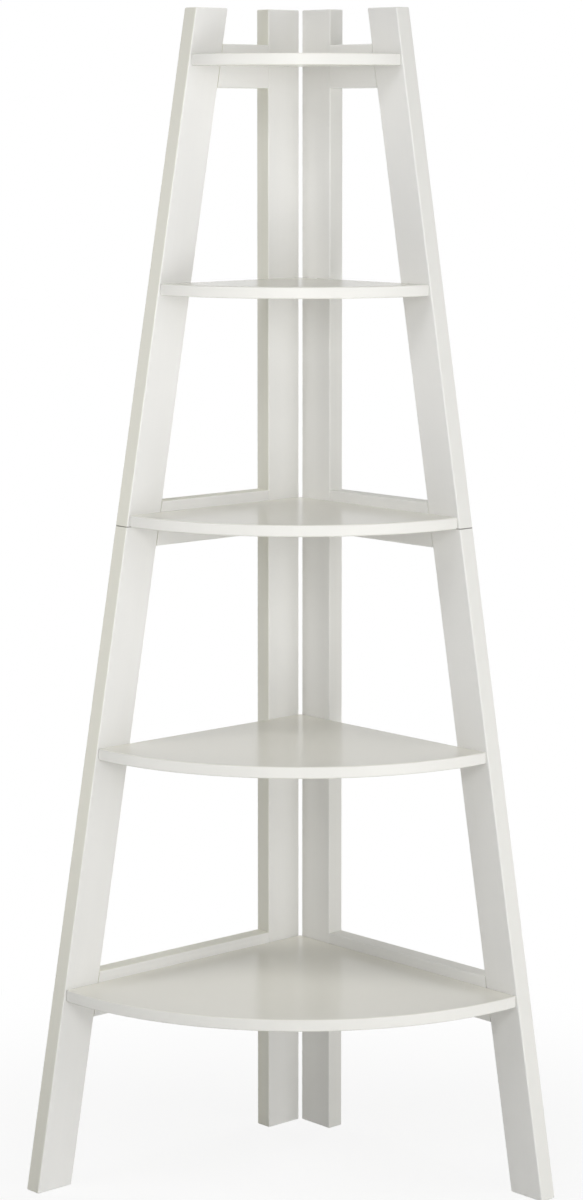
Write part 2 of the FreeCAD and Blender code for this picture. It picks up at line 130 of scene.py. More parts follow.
def around(tree, value, amount, middle):
    """Noise from 0 to 1 turned into a small swing to both sides of a middle value."""
    centred = sums(tree, "SUBTRACT", value, 0.5)
    swing = sums(tree, "MULTIPLY", centred, amount)
    return sums(tree, "ADD", swing, middle)


def noise(tree, vector, fineness, detail=2.0, roughness=0.5):
    """Noise from 0 to 1, as fine as given, in marks per metre."""
    feeds = {"Vector": vector, "Scale": fineness, "Detail": detail, "Roughness": roughness}
    return put(tree, "ShaderNodeTexNoise", feeds).outputs[0]


def drawn_noise(tree, vector, fineness, detail=2.0, roughness=0.5):
    """Noise drawn out along one axis, with its own fineness on each of the three."""
    return noise(tree, vectors(tree, "MULTIPLY", vector, fineness), 1.0, detail, roughness)


def blend(tree, share, first, second):
    """Colour between two, by a share from 0 to 1."""
    return put(tree, "ShaderNodeMix", {0: share, 6: first, 7: second}, data_type="RGBA").outputs[2]


def new_group(name, kind, inputs, outputs):
    """Node group with named sockets, and its two ends."""
    tree = bpy.data.node_groups.new(name, kind)
    for label, socket_kind, value in inputs:
        socket = tree.interface.new_socket(label, in_out="INPUT", socket_type=socket_kind)
        if value is not None:
            socket.default_value = value
    for label, socket_kind in outputs:
        tree.interface.new_socket(label, in_out="OUTPUT", socket_type=socket_kind)
    return tree, put(tree, "NodeGroupInput"), put(tree, "NodeGroupOutput")


# Finishes

BOARD_WHITE = (0.802, 0.797, 0.777, 1.0)
# Left frame's edges: a little less paint, plus a painted warm, dull shade as on the side turned away from
# the key light.
LEFT_EDGE_WARM_SHADE = (0.802, 0.792, 0.705, 1.0)
RIGHT_EDGE = (0.802, 0.796, 0.758, 1.0)
# Shelf paint: the top and underside in a warmer, duller white as painted shade, the edges in a brighter
# white as painted light.
SHELF_WHITE_AND_SHADE = (0.800, 0.786, 0.722, 1.0)
SHELF_EDGE_AND_LIGHT = (0.820, 0.814, 0.782, 1.0)
FACE_X = (1.0, 0.0, 0.0)
FACE_Y = (0.0, 1.0, 0.0)
FACE_Z = (0.0, 0.0, 1.0)

# Marks in sprayed paint: how many to a metre, across and along a board where these differ.
DRIFT_FINENESS = 4.0
STREAK_FINENESS = (46.0, 46.0, 1.3)
GRAIN_FINENESS = (330.0, 330.0, 7.0)
SPRAY_FINENESS = 520.0
# How far the marks swing the shade, the roughness and the height of the paint.
DRIFT_SHADE = 0.05
STREAK_SHADE = 0.035
GRAIN_SHADE = 0.02
DRIFT_ROUGHNESS = 0.10
STREAK_ROUGHNESS = 0.08
EDGE_ROUGHNESS = 0.08
SPRAY_HEIGHT = 0.45
# Thinner paint on edges, whose edge colour also carries painted shading on the left frame and the shelves:
# how far the surface turns off the face, and how patchy it is.
EDGE_BEGINS = 0.05
EDGE_FULL = 0.7
EDGE_SWING = 0.5
EDGE_MIDDLE = 0.85
# Dust and painted shadow in the groove at a splice: half the width of its dark line, where it ends, and how
# patchy it is.
JOINT_DUST_AND_SHADOW = (0.10, 0.095, 0.08, 1.0)
DUST_SHADOW_DARK = 0.0003
DUST_SHADOW_END = 0.0010
DUST_SHADOW_SWING = 1.2
DUST_SHADOW_MIDDLE = 0.75
NO_JOINT = -1.0

COAT_OUTPUTS = (("Color", COLOR), ("Roughness", FLOAT), ("Height", FLOAT))


def sprayed_paint_group():
    """Satin paint on a board: slow drift of shade, streaks and faint grain along the board, fine spray
    texture, edges that took a little less paint and carry painted shading in their edge colour, and dust
    with painted shadow in a joint."""
    inputs = (
        ("Vector", VECTOR, None),
        ("Paint", COLOR, BOARD_WHITE),
        ("Edge Paint And Shading", COLOR, RIGHT_EDGE),
        ("Face Direction", VECTOR, FACE_Z),
        ("Grain", FLOAT, 0.3),
        ("Streaks", FLOAT, 1.0),
        ("Gloss Roughness", FLOAT, 0.35),
        ("Joint Height", FLOAT, NO_JOINT),
    )
    tree, start, end = new_group("sprayed_paint", "ShaderNodeTree", inputs, COAT_OUTPUTS)
    given = start.outputs
    vector = given["Vector"]
    drift = noise(tree, vector, DRIFT_FINENESS)
    long_marks = drawn_noise(tree, vector, STREAK_FINENESS, detail=3.0)
    streaks = around(tree, long_marks, given["Streaks"], 0.5)
    grain = drawn_noise(tree, vector, GRAIN_FINENESS, roughness=0.6)
    faint_grain = around(tree, grain, given["Streaks"], 0.5)
    spray = noise(tree, vector, SPRAY_FINENESS, detail=1.0)

    normal = put(tree, "ShaderNodeNewGeometry").outputs["Normal"]
    facing = put(
        tree,
        "ShaderNodeVectorMath",
        {0: normal, 1: given["Face Direction"]},
        operation="DOT_PRODUCT",
    ).outputs["Value"]
    off_face = sums(tree, "SUBTRACT", 1.0, sums(tree, "ABSOLUTE", facing))
    edge = span(tree, off_face, EDGE_BEGINS, EDGE_FULL, easing="SMOOTHSTEP")
    patchy_edge = sums(tree, "MULTIPLY", edge, around(tree, streaks, EDGE_SWING, EDGE_MIDDLE))

    # Edge colour over the paint: thinner paint, and on the left frame and the shelves painted shading as
    # well.
    coat = blend(tree, patchy_edge, given["Paint"], given["Edge Paint And Shading"])
    shade = around(tree, drift, DRIFT_SHADE, 1.0)
    shade = sums(tree, "MULTIPLY", shade, around(tree, streaks, STREAK_SHADE, 1.0))
    shade = sums(tree, "MULTIPLY", shade, around(tree, faint_grain, GRAIN_SHADE, 1.0))
    shaded = scaled(tree, coat, shade)

    place = put(tree, "ShaderNodeTexCoord").outputs["Object"]
    height_up = put(tree, "ShaderNodeSeparateXYZ", {0: place}).outputs["Z"]
    off_joint = sums(tree, "ABSOLUTE", sums(tree, "SUBTRACT", height_up, given["Joint Height"]))
    # Thin dark line of dust and painted shadow in the splice groove, around the joint height.
    dust_and_shadow = span(tree, off_joint, DUST_SHADOW_DARK, DUST_SHADOW_END, 1.0, 0.0, "SMOOTHSTEP")
    patchy_dust_and_shadow = sums(tree, "MULTIPLY", dust_and_shadow, around(tree, drift, DUST_SHADOW_SWING, DUST_SHADOW_MIDDLE))
    color = blend(tree, patchy_dust_and_shadow, shaded, JOINT_DUST_AND_SHADOW)

    gloss = sums(tree, "ADD", given["Gloss Roughness"], around(tree, drift, DRIFT_ROUGHNESS, 0.0))
    gloss = sums(tree, "ADD", gloss, around(tree, streaks, STREAK_ROUGHNESS, 0.0))
    gloss = sums(tree, "MULTIPLY_ADD", edge, EDGE_ROUGHNESS, gloss)

    deep_grain = sums(tree, "MULTIPLY", grain, given["Grain"])
    height = sums(tree, "MULTIPLY_ADD", spray, SPRAY_HEIGHT, deep_grain)

    tree.links.new(color, end.inputs["Color"])
    tree.links.new(gloss, end.inputs["Roughness"])
    tree.links.new(height, end.inputs["Height"])
    return tree


CLOUD_FINENESS = 180.0
SCUFF_FINENESS = (900.0, 900.0, 160.0)
CLOUD_ROUGHNESS = 0.2
SCUFF_ROUGHNESS = 0.12


def zinc_plate_group():
    """Bright zinc plate: cloudy tone and roughness, with small scuffs drawn out along one axis."""
    inputs = (
        ("Vector", VECTOR, None),
        ("Metal", COLOR, (0.6, 0.6, 0.6, 1.0)),
        ("Dull Metal", COLOR, (0.4, 0.4, 0.4, 1.0)),
        ("Polish Roughness", FLOAT, 0.3),
    )
    tree, start, end = new_group("zinc_plate", "ShaderNodeTree", inputs, COAT_OUTPUTS)
    given = start.outputs
    clouds = noise(tree, given["Vector"], CLOUD_FINENESS, detail=3.0)
    scuffs = drawn_noise(tree, given["Vector"], SCUFF_FINENESS, roughness=0.7)
    color = blend(tree, clouds, given["Metal"], given["Dull Metal"])
    rough = sums(tree, "ADD", given["Polish Roughness"], around(tree, clouds, CLOUD_ROUGHNESS, 0.0))
    rough = sums(tree, "ADD", rough, around(tree, scuffs, SCUFF_ROUGHNESS, 0.0))
    tree.links.new(color, end.inputs["Color"])
    tree.links.new(rough, end.inputs["Roughness"])
    tree.links.new(scuffs, end.inputs["Height"])
    return tree


def new_finish(name, turn, relief):
    """Material with turned object coordinates, a shader and a bump in front of its normal.
    Relief is the bump's strength and its depth."""
    finish = bpy.data.materials.new(name)
    finish.use_nodes = True
    tree = finish.node_tree
    tree.nodes.clear()
    place = put(tree, "ShaderNodeTexCoord").outputs["Object"]
    turned = put(tree, "ShaderNodeMapping", {"Vector": place, "Rotation": turn}).outputs[0]
    shader = put(tree, "ShaderNodeBsdfPrincipled")
    strength, depth = relief
    bump = put(tree, "ShaderNodeBump", {"Strength": strength, "Distance": depth})
    out = put(tree, "ShaderNodeOutputMaterial")
    tree.links.new(bump.outputs["Normal"], shader.inputs["Normal"])
    tree.links.new(shader.outputs["BSDF"], out.inputs["Surface"])
    return finish, tree, turned, shader, bump


def dress(tree, group, values, turned, shader, bump):
    """Group placed in a material with its own values, feeding the shader."""
    coat = put(tree, "ShaderNodeGroup", node_tree=group)
    tree.links.new(turned, coat.inputs["Vector"])
    for label, value in values.items():
        coat.inputs[label].default_value = value
    tree.links.new(coat.outputs["Color"], shader.inputs["Base Color"])
    tree.links.new(coat.outputs["Roughness"], shader.inputs["Roughness"])
    tree.links.new(coat.outputs["Height"], bump.inputs["Height"])


SPRAYED_PAINT = sprayed_paint_group()
ZINC_PLATE = zinc_plate_group()
PAINT_RELIEF = (0.35, 0.00012)
METAL_RELIEF = (0.3, 0.00008)
WOOD_RELIEF = (0.4, 0.0001)

BOARD_SPECULAR = 0.2
BOARD_COAT = {"Paint": BOARD_WHITE, "Grain": 0.35, "Streaks": 1.0, "Gloss Roughness": 0.46}
SHELF_SPECULAR = 0.15
SHELF_COAT = {
    "Paint": SHELF_WHITE_AND_SHADE,
    "Edge Paint And Shading": SHELF_EDGE_AND_LIGHT,
    "Face Direction": FACE_Z,
    "Grain": 0.05,
    "Streaks": 0.1,
    "Gloss Roughness": 0.2,
}
# Direction of a frame's wide faces and colour of its edges; the left frame's edge colour holds a painted
# warm shade.
WALLS = {"left": (FACE_X, LEFT_EDGE_WARM_SHADE), "right": (FACE_Y, RIGHT_EDGE)}
# Turns that lay the grain along each kind of board.
BOARD_TURNS = {
    "left_post": NO_TURN,
    "right_post": NO_TURN,
    "left_leg": (LEG_LEAN, 0.0, 0.0),
    "right_leg": (0.0, LEG_LEAN, 0.0),
    "left_rail": TURN_X,
    "right_rail": TURN_BACK_Y,
}


def painted(name, turn, coat, specular):
    """Sprayed paint with the colours, grain and gloss of its coat."""
    finish, tree, turned, shader, bump = new_finish(name, turn, PAINT_RELIEF)
    dress(tree, SPRAYED_PAINT, coat, turned, shader, bump)
    shader.inputs["Specular IOR Level"].default_value = specular
    return finish


def board_paint(board, turn):
    """Paint of one kind of board, with the edges of its wall, painted warm shade on the left wall's edges,
    and dust with painted shadow where it is spliced.
    """
    side, kind = board.split("_")
    face, edge = WALLS[side]
    joint = NO_JOINT if kind == "rail" else SPLICE_HEIGHT
    coat = {**BOARD_COAT, "Edge Paint And Shading": edge, "Face Direction": face, "Joint Height": joint}
    return painted(board + "_paint", turn, coat, BOARD_SPECULAR)


def plated(name, metal, dull, roughness):
    """Zinc plate or bare steel, bright in some places and duller in others."""
    finish, tree, turned, shader, bump = new_finish(name, NO_TURN, METAL_RELIEF)
    values = {"Metal": metal, "Dull Metal": dull, "Polish Roughness": roughness}
    dress(tree, ZINC_PLATE, values, turned, shader, bump)
    shader.inputs["Metallic"].default_value = 1.0
    return finish


PIN_STEEL = (0.62, 0.61, 0.59, 1.0)
DULL_PIN_STEEL = (0.47, 0.47, 0.46, 1.0)
BOLT_ZINC = (0.70, 0.70, 0.69, 1.0)
DULL_BOLT_ZINC = (0.52, 0.53, 0.54, 1.0)
NUT_ZINC = (0.66, 0.66, 0.64, 1.0)
DULL_NUT_ZINC = (0.48, 0.48, 0.48, 1.0)
RING_FINENESS = 160.0
FLECK_FINENESS = 700.0
# Where the two tones of the rings stand on the ramp, and their colours.
BEECH_TONES = ((0.3, (0.50, 0.31, 0.17, 1.0)), (0.7, (0.68, 0.47, 0.29, 1.0)))
BEECH_ROUGHNESS = 0.62
FLECK_ROUGHNESS = 0.2


def beech(name):
    """Plain beech with fine flecks in its roughness and relief, for the dowels."""
    finish, tree, turned, shader, bump = new_finish(name, NO_TURN, WOOD_RELIEF)
    rings = noise(tree, turned, RING_FINENESS, detail=3.0)
    flecks = noise(tree, turned, FLECK_FINENESS, detail=1.0)
    ramp = put(tree, "ShaderNodeValToRGB", {"Fac": rings})
    for tone, (position, color) in zip(ramp.color_ramp.elements, BEECH_TONES):
        tone.position = position
        tone.color = color
    tree.links.new(ramp.outputs["Color"], shader.inputs["Base Color"])
    rough = around(tree, flecks, FLECK_ROUGHNESS, BEECH_ROUGHNESS)
    tree.links.new(rough, shader.inputs["Roughness"])
    tree.links.new(flecks, bump.inputs["Height"])
    return finish


BOARD_FINISHES = {board: board_paint(board, turn) for board, turn in BOARD_TURNS.items()}
SHELF_FINISH = painted("shelf_paint", TURN_BACK_Y, SHELF_COAT, SHELF_SPECULAR)
FASTENER_FINISHES = {
    "rail_dowels": beech("dowel_beech"),
    "splice_pins": plated("pin_steel", PIN_STEEL, DULL_PIN_STEEL, roughness=0.34),
    "shelf_bolts": plated("bolt_zinc", BOLT_ZINC, DULL_BOLT_ZINC, roughness=0.28),
    "barrel_nuts": plated("nut_zinc", NUT_ZINC, DULL_NUT_ZINC, roughness=0.36),
}


def finish_for(name):
    """Finish of a node: a board by its wall and kind, a shelf, or a fastener by its name."""
    words = name.split("_")
    if words[-1] == "shelf":
        return SHELF_FINISH
    if words[0] in WALLS:
        return BOARD_FINISHES[words[0] + "_" + words[-1]]
    return FASTENER_FINISHES[name]


for node_name, node_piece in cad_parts.items():
    for material_slot in node_piece.material_slots:
        material_slot.material = finish_for(node_name)


# Shapes that the trees of bolts, nuts and shelves share

SHARP_ANGLE = math.radians(32)


def sized_tree(name, sizes, more=()):
    """Geometry tree with named sizes, any more inputs and a finish."""
    inputs = [("Geometry", SHAPE, None)]
    inputs += [(label, FLOAT, value) for label, value in sizes.items()]
    inputs += [*more, ("Finish", MATERIAL, None)]
    return new_group(name, "GeometryNodeTree", inputs, (("Geometry", SHAPE),))


def close_tree(tree, start, end, geometry):
    """One real mesh with its finish, as the tree's result."""
    real = put(tree, "GeometryNodeRealizeInstances", {"Geometry": geometry})
    feeds = {"Geometry": real.outputs[0], "Material": start.outputs["Finish"]}
    dressed = put(tree, "GeometryNodeSetMaterial", feeds)
    tree.links.new(dressed.outputs[0], end.inputs["Geometry"])


def moved(tree, geometry, offset, turn=NO_TURN):
    feeds = {"Geometry": geometry, "Translation": offset, "Rotation": turn}
    return put(tree, "GeometryNodeTransform", feeds).outputs[0]


def cylinder(tree, sides, radius, length):
    return put(tree, "GeometryNodeMeshCylinder", {"Vertices": sides, "Radius": radius, "Depth": length})


def rod(tree, sides, radius, length, middle=0.0):
    """Closed round or hexagonal rod with its middle at a height on its axis."""
    made = cylinder(tree, sides, radius, length)
    return moved(tree, made.outputs["Mesh"], spot(tree, z=middle))


def eased_end(tree, geometry, end_faces, ease, radius):
    """Chamfer that carries an end face on by the ease and draws it in by as much."""
    feeds = {"Mesh": geometry, "Selection": end_faces, "Offset Scale": ease}
    longer = put(tree, "GeometryNodeExtrudeMesh", feeds)
    inner = sums(tree, "DIVIDE", sums(tree, "SUBTRACT", radius, ease), radius)
    feeds = {"Geometry": longer.outputs["Mesh"], "Selection": longer.outputs["Top"], "Scale": inner}
    return put(tree, "GeometryNodeScaleElements", feeds).outputs[0]


def cut(tree, body, *tools):
    made = put(tree, "GeometryNodeMeshBoolean", {"Mesh 1": body}, operation="DIFFERENCE", solver="MANIFOLD")
    for tool in tools:
        tree.links.new(tool, made.inputs["Mesh 2"])
    return made.outputs["Mesh"]


def joined(tree, *pieces):
    made = put(tree, "GeometryNodeJoinGeometry")
    for piece in pieces:
        tree.links.new(piece, made.inputs[0])
    return made.outputs[0]


def grown(name, start_mesh, tree, values):
    """Plain mesh that a tree makes of a start mesh, with the tree's inputs set by name."""
    maker = bpy.data.objects.new(name, start_mesh)
    bpy.context.scene.collection.objects.link(maker)
    setting = maker.modifiers.new(name, "NODES")
    setting.node_group = tree
    for socket in tree.interface.items_tree:
        if socket.in_out == "INPUT" and socket.name in values:
            setting[socket.identifier] = values[socket.name]
    settled = maker.evaluated_get(bpy.context.evaluated_depsgraph_get())
    mesh = bpy.data.meshes.new_from_object(settled)
    maker.modifiers.remove(setting)
    maker.data = mesh
    mesh.polygons.foreach_set("use_smooth", [True] * len(mesh.polygons))
    mesh.set_sharp_from_angle(angle=SHARP_ANGLE)
    return maker


# Bolts and barrel nuts, one tree each, set out along both walls

BOLT_SIZES = {
    "Head Diameter": 0.015,
    "Head Height": 0.0025,
    "Head Ease": 0.0005,
    "Socket Width": 0.004,
    "Socket Depth": 0.0016,
    "Shank Diameter": 0.006,
    "Shank Length": 0.045,
    "Thread Length": 0.022,
    "Thread Pitch": 0.001,
    "Thread Depth": 0.0004,
}
NUT_SIZES = {
    "Nut Diameter": 0.010,
    "Nut Length": 0.012,
    "End Ease": 0.0005,
    "Bore": 0.0061,
    "Slot Width": 0.0014,
    "Slot Depth": 0.0012,
}
BOLT_HEAD_RECESS = 0.0005
NUT_OFF_WALL = 0.042
HEAD_SIDES = 40
SHANK_SIDES = 20
SOCKET_SIDES = 6
RIDGE_SIDES = 4
TURN_STEPS = 12
# Length of the blunt point in pitches, length of the nut's cutters in diameters, and
# how far up a normal has to point for the upper end.
POINT_PITCHES = 1.5
CUTTER_DIAMETERS = 1.5
FACING_UP = 0.9


def set_out(tree, start, end, piece):
    """Copies of one fastener at every place, turned by its aim, as the tree's result."""
    aim = put(tree, "GeometryNodeInputNamedAttribute", {"Name": "aim"}, data_type="FLOAT_VECTOR")
    turn = put(tree, "FunctionNodeEulerToRotation", {0: aim.outputs[0]})
    feeds = {"Points": start.outputs["Geometry"], "Instance": piece, "Rotation": turn.outputs[0]}
    copies = put(tree, "GeometryNodeInstanceOnPoints", feeds)
    close_tree(tree, start, end, copies.outputs[0])


def connector_bolt_tree():
    """Wide flat head with a hexagon socket, plain neck, rolled thread and a blunt point."""
    tree, start, end = sized_tree("connector_bolt", BOLT_SIZES)
    size = start.outputs
    head_radius = halved(tree, size["Head Diameter"])
    shank_radius = halved(tree, size["Shank Diameter"])

    straight = sums(tree, "SUBTRACT", size["Head Height"], size["Head Ease"])
    disc = cylinder(tree, HEAD_SIDES, head_radius, straight)
    eased = eased_end(tree, disc.outputs["Mesh"], disc.outputs["Bottom"], size["Head Ease"], head_radius)
    lift = sums(tree, "ADD", size["Head Ease"], halved(tree, straight))
    head = moved(tree, eased, spot(tree, z=lift))
    corner_radius = sums(tree, "DIVIDE", size["Socket Width"], math.sqrt(3.0))
    key = rod(tree, SOCKET_SIDES, corner_radius, doubled(tree, size["Socket Depth"]))
    head = cut(tree, head, key)

    neck_length = sums(tree, "SUBTRACT", size["Shank Length"], size["Thread Length"])
    neck_middle = sums(tree, "ADD", size["Head Height"], halved(tree, neck_length))
    neck = rod(tree, SHANK_SIDES, shank_radius, neck_length, neck_middle)

    neck_end = sums(tree, "ADD", size["Head Height"], neck_length)
    point = sums(tree, "MULTIPLY", size["Thread Pitch"], POINT_PITCHES)
    core_radius = sums(tree, "SUBTRACT", shank_radius, size["Thread Depth"])
    core_length = sums(tree, "SUBTRACT", size["Thread Length"], point)
    core = cylinder(tree, SHANK_SIDES, core_radius, core_length)
    pointed = eased_end(tree, core.outputs["Mesh"], core.outputs["Top"], point, core_radius)
    core_middle = sums(tree, "ADD", neck_end, halved(tree, core_length))
    shank = moved(tree, pointed, spot(tree, z=core_middle))

    coil = put(
        tree,
        "GeometryNodeCurveSpiral",
        {
            "Resolution": TURN_STEPS,
            "Rotations": sums(tree, "DIVIDE", core_length, size["Thread Pitch"]),
            "Start Radius": core_radius,
            "End Radius": core_radius,
            "Height": core_length,
        },
    )
    upright = put(tree, "GeometryNodeSetCurveNormal", {"Curve": coil.outputs[0]}, mode="Z_UP")
    feeds = {"Resolution": RIDGE_SIDES, "Radius": size["Thread Depth"]}
    ridge = put(tree, "GeometryNodeCurvePrimitiveCircle", feeds)
    feeds = {"Curve": upright.outputs[0], "Profile Curve": ridge.outputs[0], "Fill Caps": True}
    swept = put(tree, "GeometryNodeCurveToMesh", feeds)
    thread = moved(tree, swept.outputs[0], spot(tree, z=neck_end))
    set_out(tree, start, end, joined(tree, head, neck, shank, thread))
    return tree


def barrel_nut_tree():
    """Short round bar with a cross bore for the bolt and a screwdriver slot in its lower end."""
    tree, start, end = sized_tree("barrel_nut", NUT_SIZES)
    size = start.outputs
    radius = halved(tree, size["Nut Diameter"])
    straight = sums(tree, "SUBTRACT", size["Nut Length"], doubled(tree, size["End Ease"]))
    bar = cylinder(tree, HEAD_SIDES, radius, straight)
    eased = eased_end(tree, bar.outputs["Mesh"], bar.outputs["Bottom"], size["End Ease"], radius)
    normal = put(tree, "GeometryNodeInputNormal").outputs[0]
    rise = put(tree, "ShaderNodeSeparateXYZ", {0: normal}).outputs["Z"]
    upper_end = put(tree, "FunctionNodeCompare", {0: rise, 1: FACING_UP}, operation="GREATER_THAN")
    eased = eased_end(tree, eased, upper_end.outputs[0], size["End Ease"], radius)

    cutter_length = sums(tree, "MULTIPLY", size["Nut Diameter"], CUTTER_DIAMETERS)
    bore = cylinder(tree, SHANK_SIDES, halved(tree, size["Bore"]), cutter_length)
    bore = moved(tree, bore.outputs["Mesh"], NO_MOVE, TURN_Y)
    slot_size = spot(tree, cutter_length, size["Slot Width"], doubled(tree, size["Slot Depth"]))
    slot = put(tree, "GeometryNodeMeshCube", {"Size": slot_size})
    lower_end = negated(tree, halved(tree, size["Nut Length"]))
    slot = moved(tree, slot.outputs["Mesh"], spot(tree, z=lower_end))
    set_out(tree, start, end, cut(tree, eased, bore, slot))
    return tree


def leg_front(height):
    return FOOTPRINT - height * LEG_SLOPE


def bolt_places(level):
    """Places along a wall of one shelf's bolts: in post and leg, or in the middle rail."""
    height = SHELF_TOPS[level] - SHELF_THICKNESS / 2
    if level == MIDDLE_SHELF:
        return POST_REAR + POST_WIDTH + RAIL_BOLT_INSET, leg_front(height) - LEG_RUN - RAIL_BOLT_INSET
    return POST_REAR + POST_WIDTH / 2, leg_front(height) - LEG_RUN / 2


def fastener_points(off_wall, left_aim, right_aim):
    """Place and aim of every bolt or nut: off the left wall along +X, off the right one along -Y."""
    points = []
    for level, top in enumerate(SHELF_TOPS):
        height = top - SHELF_THICKNESS / 2
        for place in bolt_places(level):
            points.append((ROOM_CORNER + Vector((off_wall, -place, height)), left_aim))
            points.append((ROOM_CORNER + Vector((place, -off_wall, height)), right_aim))
    return points


def make_fasteners(name, tree, sizes, points, finish):
    """All copies of a fastener, set out from points that carry its aim."""
    places = bpy.data.meshes.new(name)
    places.from_pydata([place for place, aim in points], [], [])
    aims = places.attributes.new("aim", "FLOAT_VECTOR", "POINT")
    aims.data.foreach_set("vector", [value for place, aim in points for value in aim])
    return grown(name, places, tree, {**sizes, "Finish": finish})


shelf_bolts = make_fasteners(
    "connector_bolts",
    connector_bolt_tree(),
    BOLT_SIZES,
    fastener_points(BOLT_HEAD_RECESS, TURN_Y, TURN_X),
    FASTENER_FINISHES["shelf_bolts"],
)
barrel_nuts = make_fasteners(
    "slotted_barrel_nuts",
    barrel_nut_tree(),
    NUT_SIZES,
    fastener_points(NUT_OFF_WALL, NO_TURN, TURN_Z),
    FASTENER_FINISHES["barrel_nuts"],
)
for piece, node_name in ((shelf_bolts, "shelf_bolts"), (barrel_nuts, "barrel_nuts")):
    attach(piece, "root")
    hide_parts(node_name)


# Shelves, grown from one tree

SHELF_NODES = ("bottom_shelf", "second_shelf", "middle_shelf", "fourth_shelf", "top_shelf")
SHELF_SETBACK = 0.0015
# Reach and bolt places are set anew for each shelf.
SHELF_SIZES = {
    "Reach": 0.4,
    "Arc Centre Offset": 0.004,
    "Thickness": SHELF_THICKNESS,
    "Edge Round": 0.002,
    "Corner Round": 0.0025,
    "Rear Bolt": 0.03,
    "Front Bolt": 0.3,
    "Bolt Bore": 0.0065,
    "Bolt Depth": 0.0238,
    "Nut Bore": 0.0102,
    "Nut Depth": 0.014,
    "Nut Inset": 0.017,
}
ARC_POINTS = 81
CORNER_STEPS = 4
# Rings of points from a pole in the flat face, over the rolled edge, to the upright edge;
# the underside mirrors them. A ring close to the roll on each side keeps its shading clean.
FLAT_RINGS = 14
ROUND_STEPS = 4
ROLL_START = FLAT_RINGS + 1
ROLL_END = ROLL_START + ROUND_STEPS
HALF_RINGS = ROLL_END + 2
RINGS = 2 * HALF_RINGS
FLAT_SUPPORT_SHARE = 0.002
UPRIGHT_SUPPORT = 0.0004
POLE_SHARE = 0.42
WELD = 0.000002
# Whole numbers are told apart half a step from them and rounded with a quarter step to spare.
HALF_STEP = 0.5
QUARTER_STEP = 0.25


def shelf_outline(tree, size):
    """Bowed front between two tips, closed over the rear corner, with its three corners eased."""
    offset = size["Arc Centre Offset"]
    run = sums(tree, "SUBTRACT", size["Reach"], offset)
    swing = sums(tree, "ARCTAN2", offset, run)
    squares = sums(tree, "MULTIPLY_ADD", run, run, sums(tree, "MULTIPLY", offset, offset))
    arc = put(
        tree,
        "GeometryNodeCurveArc",
        {
            "Resolution": ARC_POINTS,
            "Radius": sums(tree, "SQRT", squares),
            "Start Angle": sums(tree, "SUBTRACT", -QUARTER, swing),
            "Sweep Angle": sums(tree, "MULTIPLY_ADD", swing, 2.0, QUARTER),
            "Connect Center": True,
        },
        mode="RADIUS",
    )
    front = moved(tree, arc.outputs[0], spot(tree, offset, negated(tree, offset)))
    number = put(tree, "GeometryNodeInputIndex").outputs[0]
    centre = sums(tree, "GREATER_THAN", number, ARC_POINTS - HALF_STEP)
    feeds = {"Geometry": front, "Selection": centre, "Position": spot(tree)}
    closed = put(tree, "GeometryNodeSetPosition", feeds)
    first = sums(tree, "LESS_THAN", number, HALF_STEP)
    other_corners = sums(tree, "GREATER_THAN", number, ARC_POINTS - 1 - HALF_STEP)
    all_corners = sums(tree, "ADD", first, other_corners)
    ease = sums(tree, "MULTIPLY", all_corners, size["Corner Round"])
    feeds = {"Curve": closed.outputs[0], "Count": CORNER_STEPS, "Radius": ease}
    return put(tree, "GeometryNodeFilletCurve", feeds, mode="POLY").outputs[0]


def rim_value(tree, rim, value, station):
    """What the rim's points hold at a station."""
    feeds = {"Geometry": rim.outputs["Points"], "Value": value, "Index": station}
    return put(tree, "GeometryNodeSampleIndex", feeds, data_type="FLOAT_VECTOR").outputs[0]


